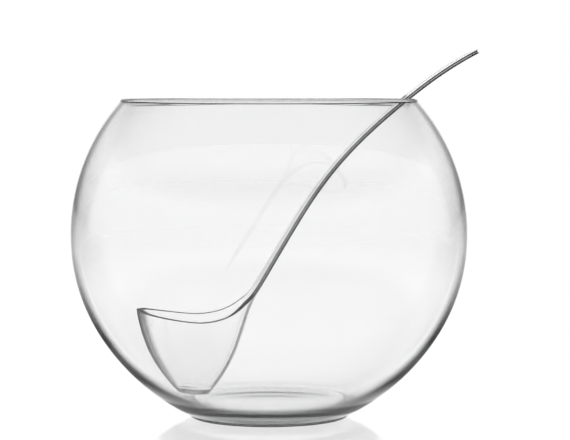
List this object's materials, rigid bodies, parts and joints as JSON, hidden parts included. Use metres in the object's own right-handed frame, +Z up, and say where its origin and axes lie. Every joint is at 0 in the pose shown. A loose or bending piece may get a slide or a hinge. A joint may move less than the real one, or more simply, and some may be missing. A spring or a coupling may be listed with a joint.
{
  "type": "punch bowl",
  "caption": "Round clear glass punch bowl with a narrowed mouth and low foot, with a one-piece glass ladle standing in it.",
  "frame": {"origin": "centre of the bowl's resting face, on the bowl's axis", "axes": "+Z up along the bowl's axis; the ladle lies in the XZ plane with its handle leaving over the rim towards +X"},
  "size_m": [0.2686, 0.2584, 0.2401],
  "materials": {
    "bowl_glass": "polished",
    "ladle_glass": "polished"
  },
  "bodies": {
    "bowl": {"bowl": "bowl_glass"},
    "ladle": {"ladle": "ladle_glass"}
  },
  "joints": [
    {"name": "ladle_lift", "type": "slide", "parent": "bowl", "child": "ladle", "axis": [0, 0, 1], "range_m": [0, 0.215]}
  ]
}
